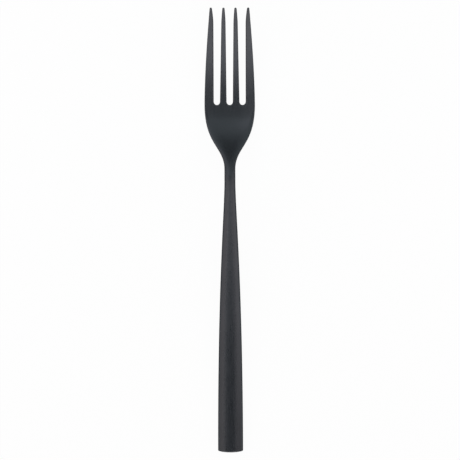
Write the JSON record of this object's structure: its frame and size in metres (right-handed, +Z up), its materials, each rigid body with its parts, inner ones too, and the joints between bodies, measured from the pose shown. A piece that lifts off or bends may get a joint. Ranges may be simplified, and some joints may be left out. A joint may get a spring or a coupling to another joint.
{
  "type": "dessert fork",
  "caption": "Slim matte black dessert fork with straight tapering tines, a shallow dished head, a narrow neck and an oval handle that flares to a flat butt.",
  "frame": {"origin": "on the table, under the middle of the fork's box, with the fork lying on its back", "axes": "+Y towards the tine tips, +X across the fork to the right seen from above, +Z up from the table"},
  "size_m": [0.021, 0.184, 0.016],
  "materials": {
    "black_steel": "matte black coating on fine-brushed stainless steel",
    "handle_cement": "dry, slightly grainy filler"
  },
  "bodies": {
    "root": {"fork_head": "black_steel", "handle_front_shell": "black_steel", "handle_back_shell": "black_steel", "handle_filler": "handle_cement", "butt_plug": "black_steel"}
  },
  "joints": []
}
